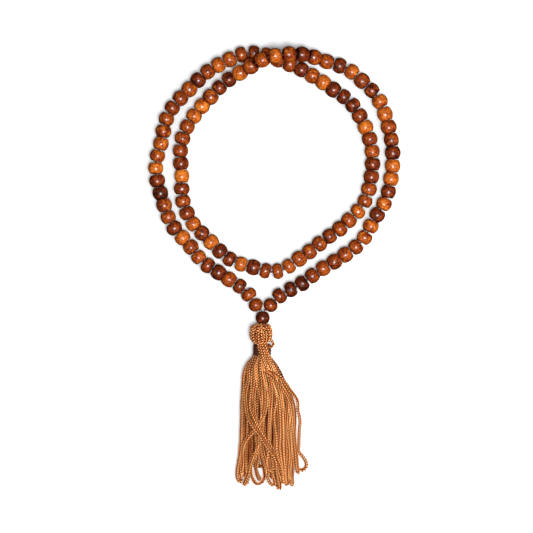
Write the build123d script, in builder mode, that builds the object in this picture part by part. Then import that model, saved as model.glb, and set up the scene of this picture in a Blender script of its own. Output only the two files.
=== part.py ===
"""Mala prayer beads: a doubled strand of 108 wooden beads closed by a guru bead and a tassel of looped cords.

Millimetres. The mala lies on a table, the plane z = 0, with +Z up. +Y points from the tassel to the far end of
the strand, and the origin is below the middle of the whole object. Beads are numbered from the guru bead
round the outer left of the strand, which goes round twice and comes back down the outer right.
"""

import os
from math import acos, cos, radians, sin, tan

from build123d import *

# Strand
BEADS = 108
BEAD_RADIUS = 4.2  # the usual radius of a bead, across its hole
BEAD_SPREAD = 0.18  # how much larger or smaller turned beads come out
END_BEAD_RADIUS = 3.9  # the first and the last bead, which share the guru bead's end
BEAD_FACE_RADIUS = 2.9  # the flat where two beads meet
END_BEAD_FACE_RADIUS = 1.5  # the same of the first and the last bead
BEAD_HOLE_RADIUS = 0.9
BEAD_GAP = 0.06  # between the flats of two neighbours, where they come nearest
LONGER_BEADS_FROM, LONGER_BEAD_SHARE = 76, 1.09  # from this bead on they are longer than the others
LATER_BEADS_FROM, LATER_BEAD_SHARE = 90, 1.03  # and from this one on only a little longer
LYING_HEIGHT = 4.4  # a bead's hole above the table
THREAD_RADIUS = 0.45
LEAST_TURN = 1.0  # degrees: the thread runs straight through a smaller turn than this
SINGLE_BEADS = 22  # beads that have a node of their own, each side of the guru bead
GROUPED_BEADS = 16  # beads in each of the other nodes

# Guru bead
GURU_CENTRE = (-6.6, -26.9, 4.1)
GURU_RADIUS = 3.8
GURU_BORE_RADIUS = 1.2
GURU_MOUTH_RADIUS = 1.7
GURU_MOUTH_DEPTH = 0.8
DOUBLED_THREAD_OFFSET = 0.5  # each of the two strands of thread from the guru bead's axis

# Tassel
HEAD_CENTRE = (-7.5, -35.3, 6.65)
HEAD_RADIUS = 6.6
HEAD_CLEARANCE = 0.4  # round the guru bead, which the head hangs from
HEAD_END = -41.3
KNOT_CENTRE = (-7.0, -34.6, 5.4)
KNOT_RADIUS = 1.9
KNOT_ROOM = 0.5
NECK_CENTRE = (-6.9, 5.3)  # x and z
NECK_RADIUS = 3.7
NECK_START = -41.35
NECK_END = -46.9
BINDING_TURNS = 5
BINDING_THREAD_RADIUS = 0.55
BINDING_INNER_RADIUS = 3.8
TAIL_ROUTE = [(-2.0, -43.2, 6.2), (-0.4, -42.6, 6.6), (0.0, -41.0, 7.0), (-0.9, -39.8, 7.2)]
TAIL_RADII = [0.9, 0.9]
TAIL_RADIUS = 0.4
TAIL_KNOT_RADIUS = 1.1

# The skirt's left and right edge, and its top and bottom, at places down its length
SKIRT_SECTIONS = [
    (-47.0, -11.2, -2.6, 0.9, 9.4),
    (-51.0, -15.6, 1.0, 0.4, 9.0),
    (-58.0, -18.4, 5.6, 0.1, 8.2),
    (-70.0, -19.2, 10.8, 0.05, 7.4),
    (-90.0, -19.8, 11.2, 0.05, 6.8),
    (-104.0, -21.0, 13.6, 0.05, 6.4),
    (-113.0, -21.2, 13.4, 0.05, 5.8),
    (-119.4, -16.5, 9.0, 0.05, 4.6),
]

# Where the strand's middle line goes, from the guru bead round twice and back to it. Most of it lies on the
# table; near the far end the second turn climbs over the first.
LOW = LYING_HEIGHT
STRAND_ROUTE = [
    (-8.6, -22.8, LOW),
    (-10.8, -20.2, LOW),
    (-13.7, -13.8, LOW),
    (-18.7, -10.0, LOW),
    (-30.0, -2.7, LOW),
    (-36.2, 1.2, LOW),
    (-41.0, 5.0, LOW),
    (-44.3, 10.5, LOW),
    (-49.1, 15.5, LOW),
    (-57.3, 26.5, LOW),
    (-59.3, 33.0, LOW),
    (-63.2, 45.9, LOW),
    (-63.5, 59.5, LOW),
    (-60.8, 67.0, LOW),
    (-60.0, 73.6, LOW),
    (-55.6, 85.5, LOW),
    (-46.4, 95.3, LOW),
    (-36.1, 105.5, LOW),
    (-23.2, 112.3, LOW),
    (-16.8, 115.0, LOW),
    (-10.2, 115.5, LOW),
    (2.7, 111.2, LOW),
    (15.1, 106.0, LOW),
    (20.2, 102.7, LOW),
    (26.0, 99.9, LOW),
    (31.0, 95.4, LOW),
    (36.9, 92.2, LOW),
    (45.2, 82.2, LOW),
    (50.7, 70.0, LOW),
    (52.5, 56.2, LOW),
    (50.6, 42.8, LOW),
    (45.4, 30.7, LOW),
    (39.8, 26.0, LOW),
    (35.5, 20.8, LOW),
    (29.3, 17.2, LOW),
    (19.1, 8.8, LOW),
    (12.9, 5.0, LOW),
    (7.6, 0.6, LOW),
    (2.0, -2.2, LOW),
    (-4.3, -2.2, LOW),
    (-11.4, 0.5, LOW),
    (-18.0, 1.6, LOW),
    (-29.8, 9.0, LOW),
    (-38.2, 17.8, LOW),
    (-44.0, 23.1, LOW),
    (-47.2, 29.4, LOW),
    (-49.7, 35.4, LOW),
    (-49.8, 48.5, LOW),
    (-51.0, 62.0, LOW),
    (-47.4, 75.4, LOW),
    (-39.6, 86.3, LOW),
    (-30.2, 96.3, LOW),
    (-25.2, 101.0, 4.6),
    (-18.7, 104.2, 6.2),
    (-13.0, 107.4, 9.4),
    (-6.9, 110.6, 12.7),
    (0.0, 112.8, 13.3),
    (6.9, 113.4, 13.0),
    (14.0, 114.0, 10.6),
    (21.3, 112.6, 6.7),
    (28.2, 110.3, 4.7),
    (42.2, 105.0, LOW),
    (46.9, 99.6, LOW),
    (52.1, 95.6, LOW),
    (59.0, 82.6, LOW),
    (62.5, 68.8, LOW),
    (63.2, 54.5, LOW),
    (60.8, 40.2, LOW),
    (58.4, 33.3, LOW),
    (53.9, 27.4, LOW),
    (48.2, 15.8, LOW),
    (38.0, 7.2, LOW),
    (25.6, -0.5, LOW),
    (19.6, -4.1, LOW),
    (14.8, -9.0, LOW),
    (8.3, -11.5, LOW),
    (2.5, -14.6, LOW),
    (-2.4, -20.2, LOW),
    (-4.6, -22.8, LOW),
]
THREAD_START = (-7.25, -22.55, 4.1)
THREAD_FINISH = (-5.95, -22.55, 4.1)


def strand_corners():
    """The places along the strand's route where one bead ends and the next begins."""
    with BuildLine() as line:
        Spline(*STRAND_ROUTE)
    route = line.edge()
    shares = [1.0] * (LONGER_BEADS_FROM - 1)
    shares += [LONGER_BEAD_SHARE] * (LATER_BEADS_FROM - LONGER_BEADS_FROM)
    shares += [LATER_BEAD_SHARE] * (BEADS + 1 - LATER_BEADS_FROM)
    pitch = route.length / sum(shares)
    print("strand length", round(route.length, 1), "pitch", round(pitch, 3))
    return [route.position_at(pitch * sum(shares[:k]), PositionMode.LENGTH) for k in range(BEADS + 1)]


def turns(points):
    """How much a route turns at each of its inner points, in degrees."""
    runs = [after - before for before, after in zip(points, points[1:])]
    return [one.get_angle(other) for one, other in zip(runs, runs[1:])]


def bead_solid(radius, half_length, face_radius):
    """A bead turned on the Z axis: an egg's middle, cut flat at both ends and drilled."""
    edge = acos(face_radius / radius)
    stretch = half_length / sin(edge)
    outside = [(radius * cos(edge * k / 3), stretch * sin(edge * k / 3)) for k in range(-3, 4)]
    with BuildPart() as bead:
        with BuildSketch(Plane.XZ):
            with BuildLine():
                Polyline(
                    (face_radius, -half_length),
                    (BEAD_HOLE_RADIUS, -half_length),
                    (BEAD_HOLE_RADIUS, half_length),
                    (face_radius, half_length),
                )
                Spline(*outside)
            make_face()
        revolve(axis=Axis.Z)
    return bead.part


def bead_radius(number):
    """Beads differ a little in size, in no order that shows. The two beside the guru bead are smaller."""
    if number in (1, BEADS):
        return END_BEAD_RADIUS
    return BEAD_RADIUS + BEAD_SPREAD * sin(2.4 * number) * cos(0.9 * number)


def face_radius(number):
    return END_BEAD_FACE_RADIUS if number in (1, BEADS) else BEAD_FACE_RADIUS


def bead_places(corners):
    """The plane at each bead's middle, square to its hole, and half the length that its two corners leave it."""
    bends = [0, *turns(corners), 0]
    places = []
    for number, (before, after) in enumerate(zip(corners, corners[1:]), 1):
        run = after - before
        sharper = radians(max(bends[number - 1], bends[number]))
        half_length = run.length / 2 - face_radius(number) * tan(sharper / 2) - BEAD_GAP / 2
        places.append((Plane(origin=(before + after) / 2, z_dir=run), half_length))
    return places


def write_beads(name, numbers, places):
    """One node that holds the beads with these numbers."""
    solids = [bead_solid(bead_radius(n), places[n - 1][1], face_radius(n)) for n in numbers]
    with BuildPart() as beads:
        for number, solid in zip(numbers, solids):
            with Locations(places[number - 1][0].location):
                add(solid)
    beads.part.label = name
    export_step(beads.part, f"parts/{name}.step")


def write_strand_beads(places):
    """The beads next to the guru bead have a node each, and the rest share nodes."""
    for number in range(1, BEADS + 1):
        if number <= SINGLE_BEADS or number > BEADS - SINGLE_BEADS:
            write_beads(f"bead_{number:03d}", [number], places)
    for first in range(SINGLE_BEADS + 1, BEADS - SINGLE_BEADS, GROUPED_BEADS):
        last = first + GROUPED_BEADS - 1
        write_beads(f"beads_{first:03d}_to_{last:03d}", range(first, last + 1), places)


def thread_radii(points):
    """The largest arcs that the runs leave room for, one for each corner."""
    runs = [(after - before).length for before, after in zip(points, points[1:])]
    return [
        0.45 * min(before, after) / tan(radians(bend) / 2)
        for before, after, bend in zip(runs, runs[1:], turns(points))
    ]


def write_stringing_thread(corners):
    """The thread that the beads are strung on, through every hole and back to the guru bead's mouth."""
    points = [Vector(*THREAD_START), *corners, Vector(*THREAD_FINISH)]
    bends = [180, *turns(points), 180]
    points = [point for point, bend in zip(points, bends) if bend > LEAST_TURN]
    radii = thread_radii(points)
    print("thread corners", len(radii), "radii from", round(min(radii), 2), "to", round(max(radii), 1))
    with BuildPart() as thread:
        with BuildLine() as path:
            FilletPolyline(*points, radius=radii)
        with BuildSketch(Plane(origin=path.wire() @ 0, z_dir=path.wire() % 0)) as section:
            Circle(THREAD_RADIUS)
        sweep()
    swept = section.sketch.area * path.wire().length
    print("thread volume over section times length", round(thread.part.volume / swept, 4))
    thread.part.label = "stringing_thread"
    export_step(thread.part, "parts/stringing_thread.step")


def write_guru_bead():
    """A round bead with a wide bore along Y for the doubled thread, and a funnel at each mouth."""
    with BuildPart() as guru:
        with Locations(GURU_CENTRE):
            Sphere(GURU_RADIUS)
        with Locations(Plane(origin=GURU_CENTRE, z_dir=(0, 1, 0)).location):
            Cylinder(GURU_BORE_RADIUS, 2 * GURU_RADIUS, mode=Mode.SUBTRACT)
            with Locations((0, 0, GURU_RADIUS - GURU_MOUTH_DEPTH / 2)):
                Cone(GURU_BORE_RADIUS, GURU_MOUTH_RADIUS, GURU_MOUTH_DEPTH, mode=Mode.SUBTRACT)
            with Locations((0, 0, -GURU_RADIUS + GURU_MOUTH_DEPTH / 2)):
                Cone(GURU_MOUTH_RADIUS, GURU_BORE_RADIUS, GURU_MOUTH_DEPTH, mode=Mode.SUBTRACT)
    guru.part.label = "guru_bead"
    export_step(guru.part, "parts/guru_bead.step")


def write_guru_thread():
    """The two strands of thread side by side in the guru bead's bore, as long as the bore."""
    with BuildPart() as strands:
        with Locations(Plane(origin=GURU_CENTRE, x_dir=(1, 0, 0), z_dir=(0, 1, 0)).location):
            with Locations((-DOUBLED_THREAD_OFFSET, 0, 0), (DOUBLED_THREAD_OFFSET, 0, 0)):
                Cylinder(THREAD_RADIUS, 2 * GURU_RADIUS - GURU_MOUTH_DEPTH)
    strands.part.label = "guru_thread"
    export_step(strands.part, "parts/guru_thread.step")


def head_axis():
    """The plane at the guru bead's middle whose Z axis points into the tassel's head, at the knot."""
    return Plane(origin=GURU_CENTRE, z_dir=Vector(*KNOT_CENTRE) - Vector(*GURU_CENTRE))


def write_string_knot():
    """The knot that the doubled thread ends in, inside the tassel's head."""
    axis = head_axis()
    depth = (Vector(*KNOT_CENTRE) - Vector(*GURU_CENTRE)).length
    start = GURU_RADIUS + HEAD_CLEARANCE
    with BuildPart() as knot:
        with Locations(KNOT_CENTRE):
            Sphere(KNOT_RADIUS)
        with Locations(axis.location):
            with Locations((-DOUBLED_THREAD_OFFSET, 0, start), (DOUBLED_THREAD_OFFSET, 0, start)):
                Cylinder(THREAD_RADIUS, depth - start, align=(Align.CENTER, Align.CENTER, Align.MIN))
    knot.part.label = "string_knot"
    export_step(knot.part, "parts/string_knot.step")


def write_tassel_head():
    """The ball of folded cords: hollow where the knot sits, and dished round the guru bead."""
    axis = head_axis()
    depth = (Vector(*KNOT_CENTRE) - Vector(*GURU_CENTRE)).length
    with BuildPart() as head:
        with Locations(HEAD_CENTRE):
            Sphere(HEAD_RADIUS)
        with Locations((HEAD_CENTRE[0], HEAD_END, HEAD_CENTRE[2])):
            Box(20, 10, 20, align=(Align.CENTER, Align.MAX, Align.CENTER), mode=Mode.SUBTRACT)
        with Locations(GURU_CENTRE):
            Sphere(GURU_RADIUS + HEAD_CLEARANCE, mode=Mode.SUBTRACT)
        with Locations(KNOT_CENTRE):
            Sphere(KNOT_RADIUS + KNOT_ROOM, mode=Mode.SUBTRACT)
        with Locations(axis.location):
            Cylinder(
                GURU_BORE_RADIUS, depth, align=(Align.CENTER, Align.CENTER, Align.MIN), mode=Mode.SUBTRACT
            )
    head.part.label = "tassel_head"
    export_step(head.part, "parts/tassel_head.step")


def neck_plane(y):
    """A plane square to the tassel's length, its Z axis along +Y and its Y axis down."""
    return Plane(origin=(NECK_CENTRE[0], y, NECK_CENTRE[1]), x_dir=(1, 0, 0), z_dir=(0, 1, 0))


def write_neck_binding():
    """The turns of thread wound round the neck, side by side."""
    pitch = 2 * BINDING_THREAD_RADIUS * 0.9
    middle = BINDING_INNER_RADIUS + BINDING_THREAD_RADIUS
    with BuildPart() as binding:
        for turn in range(BINDING_TURNS):
            height = (turn - (BINDING_TURNS - 1) / 2) * pitch
            with Locations(neck_plane((NECK_START + NECK_END) / 2 + height).location):
                Torus(middle, BINDING_THREAD_RADIUS)
    binding.part.label = "neck_binding"
    export_step(binding.part, "parts/neck_binding.step")


def write_binding_tail():
    """The end of the binding thread, which sticks out beside the head and ends in a small knot."""
    with BuildPart() as tail:
        with BuildLine() as path:
            FilletPolyline(*TAIL_ROUTE, radius=TAIL_RADII)
        with BuildSketch(Plane(origin=path.wire() @ 0, z_dir=path.wire() % 0)):
            Circle(TAIL_RADIUS)
        sweep()
        with Locations(TAIL_ROUTE[-1]):
            Sphere(TAIL_KNOT_RADIUS)
    tail.part.label = "binding_tail"
    export_step(tail.part, "parts/binding_tail.step")


def write_tassel_skirt():
    """The hanging cords as one closed shape: a round neck that spreads into a flat fan."""
    with BuildPart() as skirt:
        with BuildSketch(neck_plane(SKIRT_SECTIONS[0][0])):
            Circle(NECK_RADIUS)
        extrude(amount=NECK_START - SKIRT_SECTIONS[0][0])
        for y, left, right, low, high in SKIRT_SECTIONS:
            middle = ((left + right) / 2, y, (low + high) / 2)
            with BuildSketch(Plane(origin=middle, x_dir=(1, 0, 0), z_dir=(0, 1, 0))):
                Ellipse((right - left) / 2, (high - low) / 2)
        loft()
    skirt.part.label = "tassel_skirt"
    export_step(skirt.part, "parts/tassel_skirt.step")


def main():
    os.makedirs("parts", exist_ok=True)
    corners = strand_corners()
    write_strand_beads(bead_places(corners))
    write_stringing_thread(corners)
    write_guru_bead()
    write_guru_thread()
    write_string_knot()
    write_tassel_head()
    write_neck_binding()
    write_binding_tail()
    write_tassel_skirt()


main()
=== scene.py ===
"""Mala prayer beads: the looks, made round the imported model.

Shapes are worked out in millimetres in the model's own frame and become metres in mesh_object and cord_line.
The mala lies on the plane z = 0, and the tassel points along -Y.
"""

from math import acos, cos, pi, radians, sin, sqrt

import bpy
import numpy as np
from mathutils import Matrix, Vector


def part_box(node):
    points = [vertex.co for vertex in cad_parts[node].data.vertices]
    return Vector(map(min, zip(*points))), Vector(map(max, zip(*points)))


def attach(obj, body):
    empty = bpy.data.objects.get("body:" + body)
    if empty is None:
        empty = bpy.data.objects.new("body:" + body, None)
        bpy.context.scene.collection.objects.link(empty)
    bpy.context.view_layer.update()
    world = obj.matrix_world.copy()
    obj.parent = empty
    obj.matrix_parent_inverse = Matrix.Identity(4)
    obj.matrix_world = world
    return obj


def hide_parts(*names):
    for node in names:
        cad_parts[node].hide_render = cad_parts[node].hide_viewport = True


MM = 0.001
UP = np.array((0.0, 0.0, 1.0))

# Camera, which looks straight down
CAMERA_X = -4.56
CAMERA_Y = 0.7
CAMERA_HEIGHT = 799.0
CAMERA_LENS = 100
CAMERA_SENSOR = 36

# Beads by how dark their wood is. The others are TONE_OF_THE_REST.
TONES = {
    0.24: (13, 92, 105, 106),
    0.33: (3, 5, 6, 10, 14, 23, 32, 35, 36, 37, 49, 56, 58, 59, 61, 74, 75, 81, 84, 87, 95, 97, 104, 107),
    0.42: (1, 20, 28, 38, 40, 42, 43, 45, 48, 50, 55, 63, 65, 67, 69, 86, 91, 108),
    0.60: (7, 16, 17, 18, 22, 25, 26, 33, 41, 53, 98, 99),
    0.70: (9, 15, 34, 39, 46, 57, 60, 62, 71, 72, 76, 79, 85, 88, 89, 93, 94, 96),
    0.80: (66,),
}
TONE_OF_THE_REST = 0.50
MOTTLED_BEADS = (18, 37, 56, 61, 72, 87, 96, 99)
SINGLE_BEADS = (*range(1, 23), *range(87, 109))
BEAD_GROUPS = {
    "beads_023_to_038": range(23, 39),
    "beads_039_to_054": range(39, 55),
    "beads_055_to_070": range(55, 71),
    "beads_071_to_086": range(71, 87),
}
BEAD_HOLE_RADIUS = 0.9
BEAD_FACE_RADIUS = 2.9
END_BEADS = (1, 108)
END_BEAD_FACE_RADIUS = 1.5
GURU_BORE_RADIUS = 1.2
GURU_MOUTH_RADIUS = 1.7
GURU_MOUTH_DEPTH = 0.8
GURU_TONE = 0.22
RINGS = 36  # of a bead's outside, from hole to hole
AROUND = 60  # points of each ring

# Chainette, the knitted cord that the tassel is made of
CORD_WIDTH = 2.2
STITCH = 1.40  # the length of one stitch
STITCH_LEAN = radians(42)
COLUMNS = 4  # of stitches, round the cord

# Tassel
HEAD_CENTRE = np.array((-7.5, -35.3, 6.65))
HEAD_LINE_RADIUS = 5.5  # from the head's middle to the middle of its cords
HEAD_CORDS = 16
NECK_CENTRE = np.array((-6.9, -44.1, 5.3))
NECK_START = -40.9
NECK_END = -46.8
# The skirt's left and right edge, and its bottom and top, at places down its length
SKIRT_SECTIONS = [
    (-44.0, -10.9, -2.9, 1.4, 9.2),
    (-47.0, -11.4, -2.4, 0.9, 9.4),
    (-51.0, -15.6, 1.4, 0.4, 9.0),
    (-58.0, -18.6, 5.9, 0.1, 8.2),
    (-70.0, -19.2, 11.0, 0.05, 7.2),
    (-90.0, -19.8, 11.4, 0.05, 6.6),
    (-104.0, -21.0, 12.6, 0.05, 6.2),
    (-113.0, -21.2, 12.4, 0.05, 5.6),
    (-119.4, -16.5, 9.0, 0.05, 4.4),
]
FRONT = 1.0
MIDDLE = 0.5
BACK = 0.0

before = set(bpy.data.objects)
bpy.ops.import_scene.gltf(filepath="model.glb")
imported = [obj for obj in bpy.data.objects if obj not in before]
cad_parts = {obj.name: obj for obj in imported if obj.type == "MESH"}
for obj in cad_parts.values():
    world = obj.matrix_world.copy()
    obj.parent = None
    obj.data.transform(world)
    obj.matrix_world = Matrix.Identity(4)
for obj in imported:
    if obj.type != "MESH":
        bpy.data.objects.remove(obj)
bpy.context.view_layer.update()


# ---------------------------------------------------------------- meshes


def mesh_object(name, points, faces, material, **values):
    """A smooth object from points in millimetres, with a value or a vector for each point under each given name."""
    mesh = bpy.data.meshes.new(name)
    mesh.from_pydata(np.asarray(points) * MM, [], faces)
    mesh.polygons.foreach_set("use_smooth", np.ones(len(mesh.polygons), bool))
    for key, data in values.items():
        data = np.asarray(data, np.float32)
        vector = data.ndim == 2
        attribute = mesh.attributes.new(key, "FLOAT_VECTOR" if vector else "FLOAT", "POINT")
        attribute.data.foreach_set("vector" if vector else "value", data.ravel())
    mesh.materials.append(material)
    mesh.update()
    made = bpy.data.objects.new(name, mesh)
    bpy.context.scene.collection.objects.link(made)
    return made


def joined(parts):
    """Several (points, faces, values) as one."""
    points, faces, values, start = [], [], {}, 0
    for part_points, part_faces, part_values in parts:
        points.append(part_points)
        faces.extend((np.asarray(part_faces) + start).tolist())
        for key, data in part_values.items():
            values.setdefault(key, []).append(data)
        start += len(part_points)
    return np.vstack(points), faces, {key: np.concatenate(data) for key, data in values.items()}


def unit(vectors):
    return vectors / np.linalg.norm(vectors, axis=-1, keepdims=True)


def smooth_step(value):
    value = np.clip(value, 0, 1)
    return value * value * (3 - 2 * value)


# ---------------------------------------------------------------- materials


def add_node(tree, kind, inputs=(), **settings):
    """A shader node with its settings, and its inputs linked or set."""
    made = tree.nodes.new(kind)
    for key, value in settings.items():
        setattr(made, key, value)
    for key, value in dict(inputs).items():
        if isinstance(value, bpy.types.NodeSocket):
            tree.links.new(value, made.inputs[key])
        else:
            made.inputs[key].default_value = value
    return made


def new_material(name):
    """A material, its tree and its Principled shader."""
    material = bpy.data.materials.new(name)
    material.use_nodes = True
    return material, material.node_tree, material.node_tree.nodes["Principled BSDF"]


def ramp(tree, value, stops, interpolation="LINEAR"):
    """The colour that a value from 0 to 1 gives, by stops of (place, colour)."""
    made = add_node(tree, "ShaderNodeValToRGB", {"Fac": value})
    made.color_ramp.interpolation = interpolation
    elements = made.color_ramp.elements
    while len(elements) < len(stops):
        elements.new(1.0)
    for element, (place, colour) in zip(elements, stops):
        element.position = place
        element.color = (*colour, 1) if len(colour) == 3 else colour
    return made.outputs["Color"]


def attribute(tree, name, output):
    return add_node(tree, "ShaderNodeAttribute", attribute_name=name).outputs[output]


def math_node(tree, operation, first, second, clamp=False):
    made = add_node(tree, "ShaderNodeMath", {0: first, 1: second}, operation=operation, use_clamp=clamp)
    return made.outputs[0]


def blend_colour(tree, factor, first, second, kind="MIX"):
    made = add_node(tree, "ShaderNodeMix", {0: factor}, data_type="RGBA", blend_type=kind)
    for socket, value in ((made.inputs[6], first), (made.inputs[7], second)):
        if isinstance(value, bpy.types.NodeSocket):
            tree.links.new(value, socket)
        else:
            socket.default_value = (*value, 1)
    return made.outputs[2]


def stretched(tree, vector, scale):
    return add_node(tree, "ShaderNodeMapping", {"Vector": vector, "Scale": scale}).outputs["Vector"]


def noise(tree, vector, scale, detail=3.0, roughness=0.55, distortion=0.0):
    inputs = {"Vector": vector, "Scale": scale, "Detail": detail, "Roughness": roughness, "Distortion": distortion}
    return add_node(tree, "ShaderNodeTexNoise", inputs).outputs["Fac"]


def bump(tree, height, strength, distance):
    inputs = {"Height": height, "Strength": strength, "Distance": distance}
    return add_node(tree, "ShaderNodeBump", inputs).outputs["Normal"]


def wood_material():
    """Lacquered wood. grain holds millimetres from the bead's middle, with the fibres along its third axis."""
    material, tree, shader = new_material("bead_wood")
    grain = attribute(tree, "grain", "Vector")
    tone = attribute(tree, "tone", "Fac")
    end = attribute(tree, "end", "Fac")
    mottling = attribute(tree, "mottling", "Fac")
    clouds = noise(tree, grain, 0.34, 2.0)
    speckle = noise(tree, stretched(tree, grain, (1.5, 1.5, 1.0)), 1.0, 4.0, 0.65, 0.8)
    streaks = noise(tree, stretched(tree, grain, (1.6, 1.6, 0.28)), 1.0, 4.0, 0.6, 0.6)
    pores = noise(tree, stretched(tree, grain, (5.0, 5.0, 0.9)), 1.0, 2.0, 0.5)
    flecks = noise(tree, grain, 0.9, 2.0, 0.6, 0.4)

    spread = math_node(tree, "MULTIPLY", math_node(tree, "SUBTRACT", clouds, 0.5), mottling)
    level = math_node(tree, "ADD", tone, spread)
    level = math_node(tree, "ADD", level, math_node(tree, "MULTIPLY", math_node(tree, "SUBTRACT", streaks, 0.5), 1.3))
    level = math_node(tree, "ADD", level, math_node(tree, "MULTIPLY", math_node(tree, "SUBTRACT", speckle, 0.5), 1.5))
    # Painted shade where the beads meet, with patina near the hole: darker towards the bead's ends and in its hole.
    level = math_node(tree, "SUBTRACT", level, math_node(tree, "MULTIPLY", end, 0.22), clamp=True)
    wood = ramp(
        tree,
        level,
        [
            (0.0, (0.016, 0.0022, 0.0010)),
            (0.22, (0.075, 0.0075, 0.0010)),
            (0.45, (0.245, 0.0330, 0.0020)),
            (0.70, (0.510, 0.0980, 0.0050)),
            (1.0, (0.860, 0.2600, 0.0220)),
        ],
    )
    pore_mask = ramp(tree, pores, [(0.0, (1, 1, 1)), (0.36, (1, 1, 1)), (0.44, (0, 0, 0))])
    wood = blend_colour(tree, math_node(tree, "MULTIPLY", pore_mask, 0.55), wood, (0.030, 0.004, 0.0012))
    chip_mask = ramp(tree, flecks, [(0.0, (1, 1, 1)), (0.27, (1, 1, 1)), (0.33, (0, 0, 0))])
    wood = blend_colour(tree, math_node(tree, "MULTIPLY", chip_mask, 0.8), wood, (0.012, 0.002, 0.0009))
    tree.links.new(wood, shader.inputs["Base Color"])

    worn = add_node(tree, "ShaderNodeMapRange", {"Value": flecks, "To Min": 0.55, "To Max": 0.34}).outputs[0]
    tree.links.new(worn, shader.inputs["Roughness"])
    shader.inputs["Specular IOR Level"].default_value = 0.35
    shader.inputs["Coat Weight"].default_value = 1.0
    shader.inputs["Coat Roughness"].default_value = 0.17
    relief = math_node(tree, "SUBTRACT", streaks, math_node(tree, "MULTIPLY", pore_mask, 0.5))
    relief = math_node(tree, "SUBTRACT", relief, chip_mask)
    tree.links.new(bump(tree, relief, 0.35, 0.00012), shader.inputs["Normal"])
    return material


def cord_material():
    """Rayon chainette with painted light and shade: pale up to a painted highlight on the crowns of its stitches, and
    deep red-brown as painted shade between them.
    """
    material, tree, shader = new_material("tassel_cord")
    depth = attribute(tree, "depth", "Fac")
    fibre = attribute(tree, "fibre", "Vector")
    shade = attribute(tree, "shade", "Fac")
    hairs = noise(tree, stretched(tree, fibre, (0.9, 7.0, 7.0)), 1.0, 3.0, 0.6)
    uneven = noise(tree, fibre, 0.45, 2.0)
    # Painted light and shade: pale up to a painted highlight on the stitch crowns, dark in the hollows between them.
    crowns = math_node(tree, "MULTIPLY", depth, 1.25)
    level = math_node(tree, "ADD", crowns, math_node(tree, "MULTIPLY", math_node(tree, "SUBTRACT", hairs, 0.5), 0.30))
    level = math_node(tree, "ADD", level, math_node(tree, "MULTIPLY", math_node(tree, "SUBTRACT", uneven, 0.5), 0.25))
    # Each cord's own tone, less painted shade: darker in the core and where other cords lie over it.
    level = math_node(tree, "ADD", level, math_node(tree, "SUBTRACT", shade, 0.5), clamp=True)
    colour = ramp(
        tree,
        level,
        [
            (0.0, (0.050, 0.0020, 0.0004)),
            (0.24, (0.260, 0.0140, 0.0014)),
            (0.42, (0.740, 0.1150, 0.0100)),
            (0.60, (1.000, 0.3700, 0.0750)),
            (1.0, (1.000, 0.6600, 0.3000)),
        ],
    )
    tree.links.new(colour, shader.inputs["Base Color"])
    shader.inputs["Roughness"].default_value = 0.40
    shader.inputs["Specular IOR Level"].default_value = 0.45
    shader.inputs["Specular Tint"].default_value = (1.0, 0.72, 0.42, 1)
    tree.links.new(bump(tree, hairs, 0.5, 0.00008), shader.inputs["Normal"])
    return material


def thread_material(name, dark, light):
    """Waxed thread, with its twist showing as fine slanting lines."""
    material, tree, shader = new_material(name)
    place = add_node(tree, "ShaderNodeTexCoord").outputs["Object"]
    twist = add_node(
        tree,
        "ShaderNodeTexWave",
        {"Vector": place, "Scale": 1500.0, "Distortion": 2.0, "Detail": 2.0, "Detail Scale": 1.5},
        bands_direction="DIAGONAL",
    ).outputs["Fac"]
    fuzz = noise(tree, place, 4000.0, 3.0)
    level = math_node(tree, "MULTIPLY", twist, fuzz, clamp=True)
    tree.links.new(ramp(tree, level, [(0.0, dark), (0.6, light)]), shader.inputs["Base Color"])
    shader.inputs["Roughness"].default_value = 0.48
    tree.links.new(bump(tree, twist, 0.4, 0.00006), shader.inputs["Normal"])
    return material


# ---------------------------------------------------------------- camera


def make_camera():
    data = bpy.data.cameras.new("camera")
    data.lens = CAMERA_LENS
    data.sensor_width = CAMERA_SENSOR
    data.clip_end = 10
    camera = bpy.data.objects.new("camera", data)
    camera.location = (CAMERA_X * MM, CAMERA_Y * MM, CAMERA_HEIGHT * MM)
    bpy.context.scene.collection.objects.link(camera)
    bpy.context.scene.camera = camera


# ---------------------------------------------------------------- chainette


def lobe():
    """The points and triangles of a unit ball, which each stitch's side is a stretched copy of."""
    mesh = bpy.data.meshes.new("lobe")
    import bmesh

    ball = bmesh.new()
    bmesh.ops.create_icosphere(ball, subdivisions=2, radius=1.0)
    ball.to_mesh(mesh)
    ball.free()
    points = np.array([v.co for v in mesh.vertices])
    faces = np.array([p.vertices[:] for p in mesh.polygons])
    bpy.data.meshes.remove(mesh)
    return points, faces


def along(line, step):
    """Points spaced evenly on a line, about one step apart, and the way it runs at each."""
    runs = np.linalg.norm(np.diff(line, axis=0), axis=1)
    reached = np.concatenate([[0], np.cumsum(runs)])
    count = max(3, int(round(reached[-1] / step)) + 1)
    places = np.linspace(0, reached[-1], count)
    points = np.stack([np.interp(places, reached, line[:, axis]) for axis in range(3)], axis=1)
    return points, unit(np.gradient(points, axis=0))


def carried_normals(directions, first):
    """A normal for each place of a line, carried along it without a twist."""
    normals = []
    normal = np.asarray(first, float)
    for direction in directions:
        normal = normal - direction * (normal @ direction)
        normal = normal / np.linalg.norm(normal)
        normals.append(normal)
    return np.array(normals)


LOBE_POINTS, LOBE_FACES = lobe()


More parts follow.
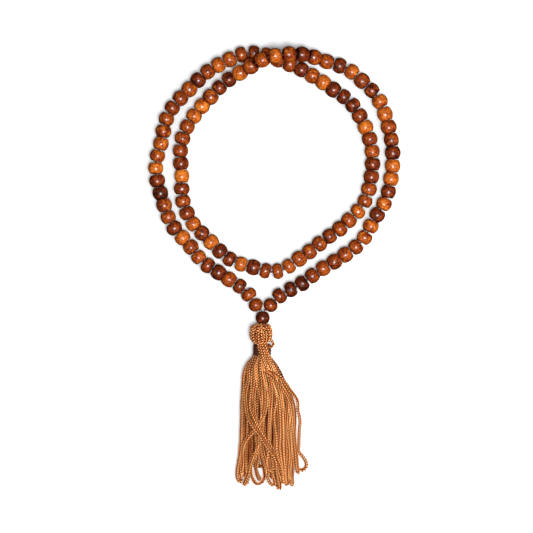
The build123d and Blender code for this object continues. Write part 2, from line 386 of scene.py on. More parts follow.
def chainette(line, rng, width=CORD_WIDTH, thickness=None, face=UP, shade=0.5, shadow=None):
    """A knitted cord on a line: columns of leaning stitches, with painted light and shade, round a core painted dark as
    shade.
    thickness gives its share of the width at each place on the line, and face is where a row of its Vs looks at its
    start."""
    points, directions = along(line, STITCH * width / CORD_WIDTH)
    count = len(points)
    size = width / CORD_WIDTH * (np.ones(count) if thickness is None else thickness(points))
    if abs(directions[0] @ face) > 0.95:
        face = np.array((1.0, 0.0, 0.0))
    normals = carried_normals(directions, face)
    sides = np.cross(directions, normals)
    turn = rng.uniform(0, pi / 2) + 0.5 * np.sin(np.linspace(0, rng.uniform(3, 8), count) + rng.uniform(0, 6))

    parts = []
    for column in range(COLUMNS):
        angle = (turn + pi / 4 + column * pi / 2)[:, None]
        out = np.cos(angle) * normals + np.sin(angle) * sides
        round_it = np.cos(angle) * sides - np.sin(angle) * normals
        lean = STITCH_LEAN * (1 if column % 2 else -1) + rng.normal(0, 0.07, count)[:, None]
        long_way = np.cos(lean) * directions + np.sin(lean) * round_it
        cross_way = np.cos(lean) * round_it - np.sin(lean) * directions
        length, half_width, height = 0.90, 0.31, 0.36
        swell = (size * rng.normal(1.0, 0.045, count))[:, None, None]
        middles = points + directions * (column % 2 * STITCH / 2 * width / CORD_WIDTH)
        x, y, z = (LOBE_POINTS[None, :, axis, None] for axis in range(3))
        outwards = 0.72 + height * z - 0.36 * x * x
        rows = (
            middles[:, None, :]
            + swell * length * x * long_way[:, None, :]
            + swell * half_width * y * cross_way[:, None, :]
            + swell * outwards * out[:, None, :]
        )
        # Painted light and shade: palest, up to a painted highlight, on the stitch's crown, and darker down its flanks,
        # at its ends and in the hollows between stitches.
        reach = np.abs(outwards[..., 0]) * np.ones((count, 1))
        depth = np.clip((reach - 0.52) / 0.56, 0, 1) * (1 - 0.25 * np.abs(x[..., 0]) ** 3)
        depth = depth * (1 - 0.75 * y[..., 0] ** 2)
        offset = rng.uniform(-40, 40, (count, 1, 3))
        fibre = np.concatenate([length * x, half_width * y, height * z], axis=-1) + offset
        faces = LOBE_FACES[None] + (np.arange(count) * len(LOBE_POINTS))[:, None, None]
        tone_and_painted_shade = shade + rng.normal(0, 0.04, (count, 1)) + np.zeros((1, len(LOBE_POINTS)))
        # Painted shadow: darker where other cords lie over this one.
        if shadow:
            tone_and_painted_shade = tone_and_painted_shade - shadow(points)[:, None]
        values = {"depth": depth.ravel(), "fibre": fibre.reshape(-1, 3), "shade": tone_and_painted_shade.ravel()}
        parts.append((rows.reshape(-1, 3), faces.reshape(-1, 3), values))

    # Painted shade: the core is painted darker than any stitch, and shows as the shade between the columns.
    core = tube(points, normals, sides, 0.52 * size)
    inside = {"depth": np.zeros(len(core[0])), "fibre": core[0], "shade": np.full(len(core[0]), shade - 0.2)}
    return joined([*parts, (*core, inside)])


def tube(points, normals, sides, radius, corners=8):
    """A closed tube round a line, as triangles."""
    angles = np.arange(corners) * 2 * pi / corners
    radius = np.broadcast_to(radius, len(points))
    ring = np.cos(angles)[None, :, None] * normals[:, None] + np.sin(angles)[None, :, None] * sides[:, None]
    rows = points[:, None] + ring * np.asarray(radius)[:, None, None]
    count = len(points)
    first = np.arange(count - 1)[:, None] * corners
    this, following = np.arange(corners), (np.arange(corners) + 1) % corners
    a, b = first + this, first + following
    c, d = a + corners, b + corners
    faces = np.concatenate([np.stack([a, b, d], -1).reshape(-1, 3), np.stack([a, d, c], -1).reshape(-1, 3)])
    caps = []
    for start, step in ((0, -1), ((count - 1) * corners, 1)):
        for corner in range(1, corners - 1):
            caps.append([start, start + corner, start + corner + 1][::step])
    return rows.reshape(-1, 3), np.concatenate([faces, np.array(caps)])


# ---------------------------------------------------------------- the skirt's cords


def cord_line(name, route):
    """The smooth line that a route gives: its NURBS spline, in millimetres."""
    data = bpy.data.curves.new(name, "CURVE")
    data.dimensions = "3D"
    data.resolution_u = 16
    spline = data.splines.new("NURBS")
    spline.points.add(len(route) - 1)
    for point, place in zip(spline.points, route):
        point.co = (*(value * MM for value in place), 1)
    spline.order_u = 3
    spline.use_endpoint_u = True
    holder = bpy.data.objects.new(name, data)
    bpy.context.scene.collection.objects.link(holder)
    bpy.context.view_layer.update()
    mesh = bpy.data.meshes.new_from_object(holder)
    points = np.array([v.co for v in mesh.vertices]) / MM
    bpy.data.objects.remove(holder)
    bpy.data.curves.remove(data)
    bpy.data.meshes.remove(mesh)
    return points


def skirt_place(share, level, y):
    """A place in the skirt: share runs from its left edge to its right one and level from the table to its top."""
    stations = [section[0] for section in SKIRT_SECTIONS][::-1]
    left, right, low, high = (
        float(np.interp(y, stations, [section[side] for section in SKIRT_SECTIONS][::-1])) for side in (1, 2, 3, 4)
    )
    inset = CORD_WIDTH / 2 * float(np.interp(-y, [44, 56], [0.6, 1]))
    roundness = float(np.interp(-y, [44, 62], [0.95, 0.45]))
    arch = sqrt(max(0.0, 1 - roundness * (2 * share - 1) ** 2))
    middle = (low + high) / 2
    half = (high - low) / 2 - inset
    return (
        left + inset + share * (right - left - 2 * inset),
        y,
        middle + half * (2 * level - 1) * (arch if level > 0.5 else min(1.0, arch * 1.15)),
    )


def crown(share, level):
    """The top of a leg of cord, from inside the neck's binding to where the skirt has spread."""
    return [skirt_place(share, level, y) for y in (-44.2, -47.4, -51.0, -55.0)]


def hanging_leg(shares, level, end, rng):
    """A leg that hangs in the skirt, through its share of the width at the top, the middle and the hem."""
    stations = [y for y in (-62.0, -70.0, -79.0, -88.0, -97.0, -106.0) if y > end + 7]
    places = []
    for y in stations:
        share = float(np.interp(-y, [58, 82, 108], shares)) + rng.normal(0, 0.024)
        x, y, z = skirt_place(min(max(share, 0), 1), level, y)
        places.append((x, y, max(z + rng.normal(0, 0.20), CORD_WIDTH / 2)))
    return crown(shares[0], level) + places


def hanging_loop(first, second, bottom, rng):
    """A looped cord with two legs (shares, level) that turns back at its bottom (x, y)."""
    x, y = bottom
    down = hanging_leg(*first, y, rng)
    up = hanging_leg(*second, y, rng)
    across = 0.62 * CORD_WIDTH * (1 if down[-1][0] < up[-1][0] else -1)
    low, high = sorted((down[-1][2], up[-1][2]))
    if high - low > 1.2:
        across *= 0.35
    turn = [
        (x - across, y + 4.0, down[-1][2] * 0.9),
        (x - across, y + 1.0, down[-1][2] * 0.75 + 0.2),
        (x + across, y + 1.0, max(up[-1][2] * 0.75 + 0.2, CORD_WIDTH / 2)),
        (x + across, y + 4.0, up[-1][2]),
    ]
    return down + turn + up[::-1]


# Loops whose way shows on top of the skirt: the share and level of each leg's top, and the points between them
SHOWN_LOOPS = {
    "left_edge_loop": (
        (0.0, 0.72),
        [
            (-16.9, -58.0, 4.6), (-17.6, -65.0, 4.5), (-17.9, -73.0, 4.2), (-18.1, -81.5, 4.1), (-18.5, -90.0, 4.0),
            (-18.9, -97.5, 3.9), (-19.8, -104.5, 3.6), (-20.4, -110.5, 3.0), (-20.0, -115.0, 2.2), (-18.2, -115.4, 2.0),
            (-17.6, -110.5, 2.8), (-16.9, -104.5, 3.6), (-16.8, -99.5, 4.4), (-16.4, -94.8, 5.6), (-13.9, -90.9, 6.2),
            (-10.9, -87.0, 6.2), (-7.7, -82.4, 6.4), (-5.3, -77.4, 6.7), (-4.6, -70.0, 6.3), (-4.9, -62.0, 6.7),
        ],
        (0.52, FRONT),
    ),
    "left_hem_loop": (
        (0.44, FRONT),
        [
            (-7.0, -62.0, 6.9), (-6.9, -70.0, 6.2), (-6.6, -78.0, 5.4), (-6.4, -86.0, 4.9), (-7.0, -93.0, 4.9),
            (-9.6, -97.5, 5.0), (-12.4, -101.0, 5.0), (-14.0, -106.0, 4.4), (-15.2, -112.0, 3.4), (-16.4, -116.8, 2.3),
            (-15.0, -117.0, 1.5), (-13.9, -111.0, 1.4), (-13.6, -103.0, 1.5), (-13.9, -94.0, 1.6), (-14.6, -85.0, 1.6),
            (-15.0, -76.0, 1.6), (-14.4, -67.0, 1.6),
        ],
        (0.16, BACK),
    ),
    "crossing_loop": (
        (0.10, FRONT),
        [
            (-14.6, -60.0, 6.6), (-15.6, -67.0, 6.3), (-15.9, -74.0, 6.3), (-14.5, -79.5, 7.2), (-11.6, -84.6, 8.1),
            (-8.6, -89.6, 8.2), (-5.5, -94.2, 7.7), (-2.2, -98.6, 7.1), (0.3, -103.6, 6.4), (1.1, -109.6, 5.4),
            (1.8, -115.0, 4.0), (3.2, -118.9, 2.6), (1.6, -119.0, 1.5), (0.4, -113.5, 1.4), (-0.6, -105.0, 2.0),
            (-0.9, -96.0, 3.0), (0.2, -87.0, 3.2), (1.2, -78.0, 3.3), (1.0, -69.0, 3.4), (-1.2, -61.0, 3.8),
        ],
        (0.62, MIDDLE),
    ),
    "second_crossing_loop": (
        (0.22, FRONT),
        [
            (-12.2, -60.0, 6.9), (-13.3, -67.0, 6.4), (-13.5, -74.0, 6.2), (-12.2, -79.6, 7.1), (-9.4, -84.2, 8.1),
            (-6.4, -89.4, 8.0), (-3.4, -93.8, 7.5), (0.2, -97.6, 7.1), (2.9, -102.6, 6.2), (3.9, -109.0, 5.0),
            (4.6, -114.4, 3.8), (5.9, -117.4, 2.8), (6.9, -114.6, 3.2), (6.3, -107.5, 4.2), (5.8, -99.0, 5.2),
            (5.4, -90.0, 5.5), (4.9, -81.0, 5.7), (4.6, -72.0, 6.0), (2.6, -64.0, 6.6),
        ],
        (0.74, FRONT),
    ),
    "open_loop": (
        (0.30, FRONT),
        [
            (-10.2, -60.0, 7.1), (-11.2, -68.0, 6.3), (-11.3, -77.0, 5.5), (-10.9, -86.0, 5.0), (-9.6, -93.5, 5.0),
            (-9.9, -98.6, 4.9), (-12.0, -103.4, 4.6), (-12.7, -108.6, 4.0), (-11.9, -113.4, 3.2), (-9.7, -116.7, 2.2),
            (-7.2, -115.6, 1.9), (-5.4, -112.0, 2.4), (-5.8, -107.4, 3.2), (-7.2, -102.6, 3.8), (-8.4, -95.0, 3.7),
            (-8.9, -86.0, 3.5), (-9.1, -77.0, 3.6), (-8.9, -68.0, 3.7), (-8.4, -60.0, 4.0),
        ],
        (0.36, MIDDLE),
    ),
    "inner_open_loop": (
        (0.38, MIDDLE),
        [
            (-9.0, -61.0, 3.7), (-10.0, -70.0, 3.6), (-10.6, -79.0, 3.5), (-9.9, -88.0, 3.6), (-8.6, -96.0, 3.9),
            (-9.3, -102.0, 4.2), (-10.4, -107.4, 3.6), (-10.0, -112.0, 2.8), (-8.2, -114.6, 1.7), (-9.0, -112.4, 1.2),
            (-11.2, -107.0, 1.2), (-11.9, -99.0, 1.2), (-12.0, -90.0, 1.2), (-12.1, -81.0, 1.2), (-12.0, -72.0, 1.3),
            (-11.2, -63.0, 1.4),
        ],
        (0.30, BACK),
    ),
    "middle_hem_loop": (
        (0.60, FRONT),
        [
            (-2.6, -60.0, 7.0), (-1.9, -68.0, 6.4), (-2.0, -77.0, 5.7), (-2.5, -86.0, 5.1), (-3.7, -95.0, 4.9),
            (-4.1, -103.0, 4.9), (-4.8, -109.5, 4.2), (-3.7, -114.2, 3.0), (-1.4, -117.4, 1.9), (-0.1, -115.8, 1.4),
            (-1.4, -110.5, 1.3), (-2.8, -103.0, 1.3), (-3.7, -94.0, 1.4), (-4.1, -84.0, 1.5), (-3.6, -74.0, 1.6),
            (-3.6, -65.0, 1.7),
        ],
        (0.55, BACK),
    ),
    "right_hem_loop": (
        (0.84, FRONT),
        [
            (3.7, -62.0, 6.2), (6.4, -69.0, 5.9), (7.4, -78.0, 5.4), (7.9, -87.0, 5.2), (8.4, -96.0, 5.0),
            (8.5, -104.0, 4.7), (7.9, -110.5, 3.8), (8.3, -116.0, 2.6), (9.4, -117.4, 1.8), (10.2, -112.5, 1.5),
            (9.7, -104.0, 1.5), (9.3, -95.0, 1.5), (8.9, -86.0, 1.5), (8.2, -77.0, 1.5), (6.6, -68.0, 1.6),
            (3.6, -60.5, 1.9),
        ],
        (0.86, BACK),
    ),
    "right_edge_loop": (
        (0.46, FRONT),
        [
            (-3.2, -57.4, 9.6), (1.4, -61.6, 9.6), (5.8, -66.6, 8.2), (8.9, -73.0, 6.4), (10.0, -83.0, 4.7), (10.5, -93.0, 4.3),
            (11.1, -101.0, 4.0), (11.3, -107.0, 3.4), (12.4, -111.4, 2.5), (12.8, -108.0, 1.8), (11.8, -100.0, 1.8),
            (11.2, -91.0, 1.8), (10.6, -82.0, 1.9), (9.8, -74.0, 2.0), (7.4, -66.0, 2.2), (4.2, -59.5, 2.7),
        ],
        (0.93, 0.35),
    ),
    "side_loop": (
        (0.66, FRONT),
        [
            (0.4, -56.2, 9.8), (4.6, -60.4, 9.0), (8.4, -65.4, 7.4), (11.4, -71.0, 5.4), (13.3, -76.6, 4.0), (14.1, -82.0, 3.2),
            (13.0, -89.0, 2.6), (12.5, -95.0, 2.2), (12.6, -99.4, 2.0), (15.0, -101.6, 1.8), (17.0, -105.0, 1.5),
            (16.0, -108.6, 1.3), (13.6, -109.4, 1.2), (11.6, -106.6, 1.2), (11.0, -99.0, 1.2), (10.6, -90.0, 1.2),
            (10.0, -81.0, 1.2), (8.6, -73.0, 1.2), (5.6, -65.0, 1.4),
        ],
        (0.90, BACK),
    ),
}
# The other loops: each leg's shares of the width at the top, the middle and the hem with its level, and the bottom
PLAIN_LOOPS = [
    (((0.66, 0.66, 0.66), FRONT), ((0.70, 0.72, 0.70), FRONT), (2.9, -113.5)),
    (((0.02, 0.03, 0.02), MIDDLE), ((0.06, 0.10, 0.08), MIDDLE), (-17.6, -112.5)),
    (((0.12, 0.17, 0.16), MIDDLE), ((0.03, 0.03, 0.05), BACK), (-15.4, -113.0)),
    (((0.46, 0.46, 0.46), MIDDLE), ((0.44, 0.46, 0.48), BACK), (-4.4, -112.0)),
    (((0.54, 0.53, 0.54), MIDDLE), ((0.60, 0.62, 0.62), BACK), (-1.8, -114.0)),
    (((0.68, 0.72, 0.72), MIDDLE), ((0.70, 0.71, 0.71), BACK), (3.4, -112.4)),
    (((0.76, 0.80, 0.80), MIDDLE), ((0.78, 0.79, 0.80), BACK), (6.0, -114.4)),
    (((0.86, 0.89, 0.88), MIDDLE), ((0.96, 0.97, 0.94), BACK), (8.6, -112.6)),
    (((0.20, 0.24, 0.24), MIDDLE), ((0.22, 0.22, 0.22), BACK), (-13.4, -109.4)),
    (((0.32, 0.40, 0.40), FRONT), ((0.50, 0.57, 0.56), FRONT), (-3.0, -110.6)),
    (((0.80, 0.78, 0.76), FRONT), ((0.72, 0.64, 0.63), MIDDLE), (4.4, -116.4)),
    (((0.84, 0.85, 0.84), FRONT), ((0.92, 0.92, 0.90), FRONT), (8.0, -114.6)),
    (((0.38, 0.38, 0.36), BACK), ((0.42, 0.43, 0.40), BACK), (-7.8, -108.0)),
    (((0.82, 0.83, 0.82), BACK), ((0.88, 0.87, 0.87), BACK), (6.6, -112.0)),
    (((0.04, 0.055, 0.06), BACK), ((0.10, 0.16, 0.17), BACK), (-16.0, -111.0)),
    (((0.64, 0.67, 0.67), BACK), ((0.74, 0.75, 0.74), BACK), (3.0, -110.0)),
    (((0.08, 0.11, 0.11), BACK), ((0.14, 0.29, 0.28), BACK), (-14.2, -107.0)),
]


def painted_skirt_shadow(points):
    """Painted shadow: how much darker a cord is painted where other cords lie over it, low in the skirt and away from
    its edges.
    """
    stations = [-section[0] for section in SKIRT_SECTIONS]
    left, right, _, top = (
        np.interp(-points[:, 1], stations, [section[side] for section in SKIRT_SECTIONS]) for side in (1, 2, 3, 4)
    )
    under = 1 - smooth_step((points[:, 2] / top - 0.30) / 0.40)
    inside = smooth_step((right - 1 - points[:, 0]) / 2) * smooth_step((points[:, 0] - left - 1) / 2)
    return 0.60 * under * inside * smooth_step((points[:, 1] + 118) / 20)


def neck_thickness(points):
    """The cords are pressed thin in the binding and swell out of it."""
    return 0.60 + 0.40 * smooth_step((-points[:, 1] - 46.5) / 11)


def make_skirt(material):
    """The looped cords of the skirt, each a piece of its own."""
    rng = np.random.default_rng(11)
    routes = {}
    for name, (first, between, second) in SHOWN_LOOPS.items():
        wavy = [(x + rng.normal(0, 0.42), y, max(z + rng.normal(0, 0.15), CORD_WIDTH / 2)) for x, y, z in between]
        routes[name] = crown(*first) + wavy + crown(*second)[::-1]
    for number, (first, second, bottom) in enumerate(PLAIN_LOOPS, 1):
        routes[f"skirt_loop_{number:02d}"] = hanging_loop(first, second, bottom, rng)
    for name, route in routes.items():
        line = cord_line(name, route)
        shade = float(np.clip(rng.normal(0.5, 0.03), 0.44, 0.56))
        look = {"thickness": neck_thickness, "shade": shade, "shadow": painted_skirt_shadow}
        points, faces, values = chainette(line, rng, **look)
        piece = mesh_object(name, points, faces, material, **values)
        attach(piece, "tassel")
        if name == "left_edge_loop":
            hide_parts("tassel_skirt")


# ---------------------------------------------------------------- head and neck


def head_frame():
    """The head's axis, from the guru bead to the neck, and two directions across it. The first faces up."""
    axis = unit(NECK_CENTRE - HEAD_CENTRE)
    across = unit(UP - axis * (UP @ axis))
    return axis, across, np.cross(axis, across)


def clear_of_guru(points, room):
    """Points pushed out of the space of the guru bead."""
    low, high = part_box("guru_bead")
    centre = np.array((low + high) / 2) / MM
    radius = (high - low)[0] / 2 / MM + room
    away = points - centre
    distance = np.linalg.norm(away, axis=1, keepdims=True)
    return np.where(distance < radius, centre + away / distance * radius, points)


def make_head(material):
    """The cords that run over the head, from the guru bead down into the neck, over a ball painted dark as the shade
    between them.
    """
    rng = np.random.default_rng(5)
    axis, up, side = head_frame()
    parts = []
    tilt = np.linspace(radians(14), radians(170), 40)

    def on_ball(tilt, round_it, radius):
        outwards = np.cos(round_it)[:, None] * up + np.sin(round_it)[:, None] * side
        return HEAD_CENTRE + radius * (np.sin(tilt)[:, None] * outwards - np.cos(tilt)[:, None] * axis)

    def pinched(points):
        away = points - HEAD_CENTRE
        off_axis = np.linalg.norm(away - (away @ axis)[:, None] * axis, axis=1) / HEAD_LINE_RADIUS
        return np.clip(0.35 + 0.75 * off_axis, 0.5, 1.0)

    for number in range(HEAD_CORDS):
        start = 2 * pi * number / HEAD_CORDS + rng.normal(0, 0.05)
        drift = rng.normal(0, 0.16) * (1 - smooth_step(tilt / radians(95)))
        radius = HEAD_LINE_RADIUS + rng.normal(0, 0.10) + 0.12 * np.sin(3 * tilt + rng.uniform(0, 6))
        line = clear_of_guru(on_ball(tilt, start + drift, radius[:, None]), 1.15)
        shade = float(np.clip(rng.normal(0.5, 0.03), 0.44, 0.56))
        parts.append(chainette(line, rng, thickness=pinched, face=line[0] - HEAD_CENTRE, shade=shade))
    # Cords that cross the others on the side away from the neck
    for heading in (0.7, 1.5, 2.3, 3.1, 4.2, 5.3):
        turn = np.linspace(-0.75, 0.75, 16)
        middle = on_ball(np.array([radians(52)]), np.array([heading]), 1.0)[0] - HEAD_CENTRE
        along_it = unit(np.cross(middle, axis) + 0.5 * rng.normal(0, 1, 3))
        along_it = unit(along_it - middle * (along_it @ middle))
        arc = np.cos(turn)[:, None] * middle + np.sin(turn)[:, None] * along_it
        lift = 5.95 - 1.1 * np.abs(turn[:, None] / 0.75) ** 3
        line = clear_of_guru(HEAD_CENTRE + arc * lift, 1.1)
        parts.append(chainette(line, rng, width=2.0, face=middle, shade=0.52))

    angles = np.linspace(0.02, pi - 0.02, 24)
    core = np.stack([HEAD_CENTRE - axis * 5.0 * cos(angle) for angle in angles])
    normals, sides = np.tile(up, (24, 1)), np.tile(side, (24, 1))
    ball = tube(clear_of_guru(core, 0.2), normals, sides, 5.0 * np.sin(angles), corners=32)
    # Painted shade: the ball gets the darkest cord colour, as the shade that shows between the head's cords.
    flat = {"depth": np.zeros(len(ball[0])), "fibre": ball[0], "shade": np.full(len(ball[0]), 0.4)}
    points, faces, values = joined([*parts, (*ball, flat)])
    piece = mesh_object("head_cords", points, faces, material, **values)
    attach(piece, "tassel")
    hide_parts("tassel_head")


def plied_thread(line, radius, plies=2, lay=1.6):
    """A twisted thread on a line: plies wound round each other, lay millimetres to a turn."""
    points, directions = along(line, 0.16)
    normals = carried_normals(directions, UP if abs(directions[0] @ UP) < 0.9 else (1.0, 0.0, 0.0))
    sides = np.cross(directions, normals)
    reached = np.arange(len(points)) * 0.16
    parts = []
    for ply in range(plies):
        angle = (2 * pi * reached / lay + 2 * pi * ply / plies)[:, None]
        centre = points + radius * 0.5 * (np.cos(angle) * normals + np.sin(angle) * sides)
        parts.append((*tube(centre, normals, sides, radius * 0.58, corners=8), {}))
    points, faces, _ = joined(parts)
    return points, faces, {}


def make_binding(material, cord):
    """The dark thread wound round the neck, the light cords that cross it, and its curled tail."""
    rng = np.random.default_rng(3)

    def round_neck(start, finish, turns, radius, phase):
        share = np.linspace(0, 1, int(turns * 40))
        angle = phase + 2 * pi * turns * share
        y = start + (finish - start) * share + 0.10 * np.sin(angle * 0.5 + phase)
        return np.stack([NECK_CENTRE[0] + radius * np.cos(angle), y, NECK_CENTRE[2] + radius * np.sin(angle)], axis=1)

    parts = [
        plied_thread(round_neck(NECK_START, NECK_END, 8, 4.15, 0.4), 0.42),
        plied_thread(round_neck(NECK_END + 0.3, NECK_START - 0.5, 6, 4.50, 2.0), 0.40),
    ]
    points, faces, values = joined(parts)
    piece = mesh_object("neck_winding", points, faces, material, **values)
    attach(piece, "tassel")
    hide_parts("neck_binding")

    crossing = [
        [
            (start, -39.8, 9.6), (start + 0.2, -41.4, 10.3), (start + 0.7, -43.2, 10.7),
            (start + 1.4, -45.2, 10.6), (start + 2.2, -47.6, 9.9), (start + 3.2, -51.0, 8.8),
        ]
        for start in (-8.9, -7.1, -5.3)
    ]
    braid = []
    for route in crossing:
        braid.append(chainette(cord_line("crossing_cord", route), rng, width=2.1, shade=0.55))
    points, faces, values = joined(braid)
    piece = mesh_object("neck_crossing_cords", points, faces, cord, **values)
    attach(piece, "tassel")

    tail = [(-4.0, -42.4, 7.6), (-2.6, -42.6, 8.2), (-1.2, -41.6, 8.6), (-0.9, -40.2, 8.6), (-1.6, -39.2, 8.4)]
    points, faces, values = chainette(cord_line("tail", tail), rng, width=1.8, shade=0.5)
    piece = mesh_object("binding_tail_curl", points, faces, cord, **values)
    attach(piece, "tassel")
    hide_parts("binding_tail")


# ---------------------------------------------------------------- beads


def bead_solids(node):
    """For each bead in a node: its middle, its hole's direction, its radius and half its length."""
    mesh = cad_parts[node].data
    corners = np.zeros(len(mesh.vertices) * 3)
    mesh.vertices.foreach_get("co", corners)
    corners = corners.reshape(-1, 3) / MM
    edges = np.zeros(len(mesh.edges) * 2, int)
    mesh.edges.foreach_get("vertices", edges)
    places, index = np.unique(np.round(corners, 4), axis=0, return_inverse=True)
    first, second = index.ravel()[edges.reshape(-1, 2)].T
    label = np.arange(len(places))
    while True:
        lower = np.minimum(label[first], label[second])
        spread = label.copy()
        np.minimum.at(spread, first, lower)
        np.minimum.at(spread, second, lower)
        spread = spread[spread]
        if (spread == label).all():
            break
        label = spread
    found = []
    for value in np.unique(label):
        points = places[label == value]
        centre = (points.min(axis=0) + points.max(axis=0)) / 2
        reach = np.linalg.norm(points - centre, axis=1)
        rims = points[reach < reach.min() + 0.25] - centre  # of the hole, at both of its ends
        axis = np.linalg.svd(rims, full_matrices=False)[2][0]
        along_it = (points - centre) @ axis
        middle = centre + axis * (along_it.max() + along_it.min()) / 2
        off_axis = (points - middle) - ((points - middle) @ axis)[:, None] * axis
        found.append((middle, axis, np.linalg.norm(off_axis, axis=1).max(), np.ptp(along_it) / 2))
    return found


def strand_order(found, start):
    """The beads of a group in the order that they are strung, from the one next to start."""
    ordered, left, place = [], list(found), start
    while left:
        nearest = min(range(len(left)), key=lambda i: np.linalg.norm(left[i][0] - place))
        ordered.append(left.pop(nearest))
        place = ordered[-1][0]
    return ordered


def bead_shape(number, solid, tone, hole, face, mouth=0.0):
    """A hand-turned bead: the CAD barrel with flats, dents and pits cut into it, and its hole and rims kept."""
    rng = np.random.default_rng(1000 + number)
    middle, axis, radius, half = solid
    first = acos(face / radius)
    angles = np.linspace(first, -first, RINGS)
    outside = np.stack([radius * np.cos(angles), half * np.sin(angles) / sin(first)], axis=1)
    if mouth:
        inside = np.array([(hole, -half + mouth), (hole, 0), (hole, half - mouth)])
    else:
        inside = np.array([(face * 0.97, -half), (hole * 1.04, -half), (hole, -half + 0.05), (hole, 0),
                           (hole, half - 0.05), (hole * 1.04, half), (face * 0.97, half)])
    profile = np.vstack([outside, inside])
    turn = np.arange(AROUND) * 2 * pi / AROUND
    local = np.stack(
        [
            profile[:, 0, None] * np.cos(turn),
            profile[:, 0, None] * np.sin(turn),
            np.repeat(profile[:, 1, None], AROUND, axis=1),
        ],
        axis=-1,
    )

    away = unit(local[:RINGS])
    cuts = [np.ones(away.shape[:2])]
    for _ in range(9):
        facing = unit(rng.normal(0, 1, 3) * (1, 1, 0.8))
        cuts.append(rng.uniform(0.972, 0.997) / np.clip(away @ facing, 0.3, 1))
    hardness = 160
    size = -np.log(np.exp(-hardness * np.array(cuts)).sum(axis=0)) / hardness
    size = np.minimum(size, 1.0)
    for _ in range(7):
        pit = unit(rng.normal(0, 1, 3))
        wide = rng.uniform(0.0012, 0.008)
        size -= rng.uniform(0.004, 0.014) * np.exp(-(1 - away @ pit) / wide)
    for _ in range(6):
        wave = rng.normal(0, 1, 3) * 3.2
        size -= 0.0010 * (1 + np.sin(away @ wave + rng.uniform(0, 6)))
    rim = smooth_step((first - np.abs(angles)) / 0.30)[:, None]
    local[:RINGS] *= (1 - rim * (1 - size))[..., None]

    fibres = np.linalg.qr(rng.normal(0, 1, (3, 3)))[0]
    across = unit(np.cross(axis, UP if abs(axis[2]) < 0.9 else (1, 0, 0)))
    basis = np.stack([across, np.cross(axis, across), axis])
    points = middle + local.reshape(-1, 3) @ basis
    rings = len(profile)
    a = (np.arange(rings)[:, None] * AROUND + np.arange(AROUND)).ravel()
    b = (np.arange(rings)[:, None] * AROUND + (np.arange(AROUND) + 1) % AROUND).ravel()
    c = (a + AROUND) % (rings * AROUND)
    d = (b + AROUND) % (rings * AROUND)
    faces = np.stack([a, c, d, b], axis=-1)
    flat = local.reshape(-1, 3)
    # Painted shade where the beads meet, with patina near the hole: darker towards both ends and darkest in the hole.
    end = np.clip(np.abs(flat[:, 2]) / half, 0, 1) ** 5
    inner = np.linalg.norm(flat[:, :2], axis=1) < face * 0.99
    end[inner] = 1.6
    mottling = 1.5 if number in MOTTLED_BEADS else rng.uniform(0.45, 0.95)
    values = {
        "grain": flat @ fibres + rng.uniform(-200, 200, 3),
        "tone": np.full(len(flat), tone + rng.normal(0, 0.035)),
        "end": end,
        "mottling": np.full(len(flat), mottling),
    }
    return points, faces, values


def tone_of(number):
    for tone, numbers in TONES.items():
        if number in numbers:
            return tone
    return TONE_OF_THE_REST


def make_beads(wood):
    """Every bead of the strand and the guru bead."""

    def shaped(number, solid):
        face = END_BEAD_FACE_RADIUS if number in END_BEADS else BEAD_FACE_RADIUS
        return bead_shape(number, solid, tone_of(number), BEAD_HOLE_RADIUS, face)

    for number in SINGLE_BEADS:
        node = f"bead_{number:03d}"
        points, faces, values = shaped(number, bead_solids(node)[0])
        piece = mesh_object(f"turned_{node}", points, faces.tolist(), wood, **values)
        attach(piece, node)
        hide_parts(node)

    place = bead_solids("bead_022")[0][0]
    for node, numbers in BEAD_GROUPS.items():
        ordered = strand_order(bead_solids(node), place)
        place = ordered[-1][0]
        points, faces, values = joined([shaped(number, solid) for number, solid in zip(numbers, ordered)])
        piece = mesh_object(f"turned_{node}", points, faces, wood, **values)
        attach(piece, "strand")
        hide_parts(node)

    low, high = (np.array(corner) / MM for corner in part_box("guru_bead"))
    solid = ((low + high) / 2, np.array((0.0, 1.0, 0.0)), (high - low)[0] / 2, (high - low)[1] / 2)
    points, faces, values = bead_shape(0, solid, GURU_TONE, GURU_BORE_RADIUS, GURU_MOUTH_RADIUS, GURU_MOUTH_DEPTH)
    piece = mesh_object("turned_guru_bead", points, faces.tolist(), wood, **values)
    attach(piece, "guru")
    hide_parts("guru_bead")


# ---------------------------------------------------------------- the rest


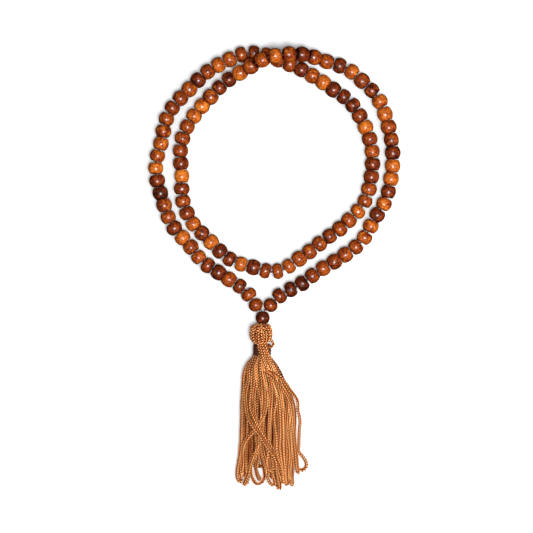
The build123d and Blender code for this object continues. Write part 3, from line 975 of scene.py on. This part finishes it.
def finish_threads(material):
    """The CAD threads keep their shape and get a thread's surface."""
    for name in ("stringing_thread", "guru_thread", "string_knot"):
        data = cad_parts[name].data
        data.materials.clear()
        data.materials.append(material)


def make_studio():
    """A pale floor, a soft lamp to the right of the tassel and an even pale room."""
    size = 4.0
    mesh = bpy.data.meshes.new("floor")
    corners = [(-size, -size, 0), (size, -size, 0), (size, size, 0), (-size, size, 0)]
    mesh.from_pydata(corners, [], [(0, 1, 2, 3)])
    floor = bpy.data.objects.new("floor", mesh)
    bpy.context.scene.collection.objects.link(floor)
    material, tree, shader = new_material("floor")
    shader.inputs["Base Color"].default_value = (0.93, 0.93, 0.93, 1)
    shader.inputs["Roughness"].default_value = 0.9
    shader.inputs["Specular IOR Level"].default_value = 0.1
    mesh.materials.append(material)
    floor.visible_diffuse = False
    floor.visible_glossy = False

    for name, place, width, power in (
        ("key", (0.05, -0.11, 0.75), 0.30, 5.0),
        ("side", (0.45, -0.14, 0.45), 0.40, 2.6),
        ("top", (0.0, 0.05, 1.20), 1.20, 2.8),
    ):
        data = bpy.data.lights.new(name, "AREA")
        data.shape = "DISK"
        data.size = width
        data.energy = power
        lamp = bpy.data.objects.new(name, data)
        lamp.location = place
        aim = np.array(place) - (0, -0.02, 0)
        from mathutils import Vector

        lamp.rotation_euler = Vector(aim).to_track_quat("Z", "Y").to_euler()
        lamp.visible_glossy = name == "key"
        bpy.context.scene.collection.objects.link(lamp)

    world = bpy.data.worlds.new("world")
    world.use_nodes = True
    world.node_tree.nodes["Background"].inputs["Color"].default_value = (1, 1, 1, 1)
    world.node_tree.nodes["Background"].inputs["Strength"].default_value = 0.18
    world.cycles_visibility.glossy = False
    bpy.context.scene.world = world
    bpy.context.scene.view_settings.view_transform = "Standard"


make_camera()
tassel_cord = cord_material()
make_skirt(tassel_cord)
make_head(tassel_cord)
make_binding(thread_material("binding_thread", (0.020, 0.003, 0.001), (0.16, 0.035, 0.010)), tassel_cord)
make_beads(wood_material())
finish_threads(thread_material("stringing_thread", (0.05, 0.008, 0.003), (0.30, 0.09, 0.03)))
make_studio()
